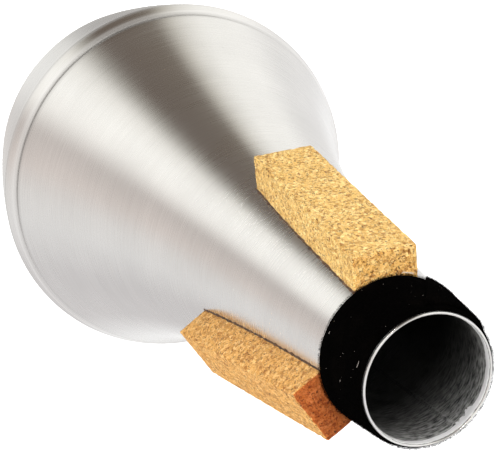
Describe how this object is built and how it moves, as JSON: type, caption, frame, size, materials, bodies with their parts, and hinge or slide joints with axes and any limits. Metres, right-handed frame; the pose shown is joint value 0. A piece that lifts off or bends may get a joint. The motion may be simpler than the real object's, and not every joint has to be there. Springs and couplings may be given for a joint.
{
  "type": "trumpet mute",
  "caption": "Straight trumpet mute: flared aluminium cone closed by a deep bowl, with glued cork pads and a velour strip round the neck.",
  "frame": {"origin": "centre of the flat foot that the mute stands on", "axes": "+Z along the mute's axis, from the closed end towards the mouth; +Y through the middle of the first cork pad"},
  "size_m": [0.086, 0.086, 0.1632],
  "materials": {
    "brushed_aluminium": "brushed round the axis",
    "spun_aluminium": "spun, satin",
    "cork": "matte agglomerated cork",
    "contact_cement": "dry contact cement",
    "black_velour": "short black pile"
  },
  "bodies": {
    "root": {"cone_shell": "brushed_aluminium", "end_bowl": "spun_aluminium", "cork_pad_1": "cork", "cork_pad_2": "cork", "cork_pad_3": "cork", "cork_cement_1": "contact_cement", "cork_cement_2": "contact_cement", "cork_cement_3": "contact_cement", "neck_collar": "black_velour"}
  },
  "joints": []
}
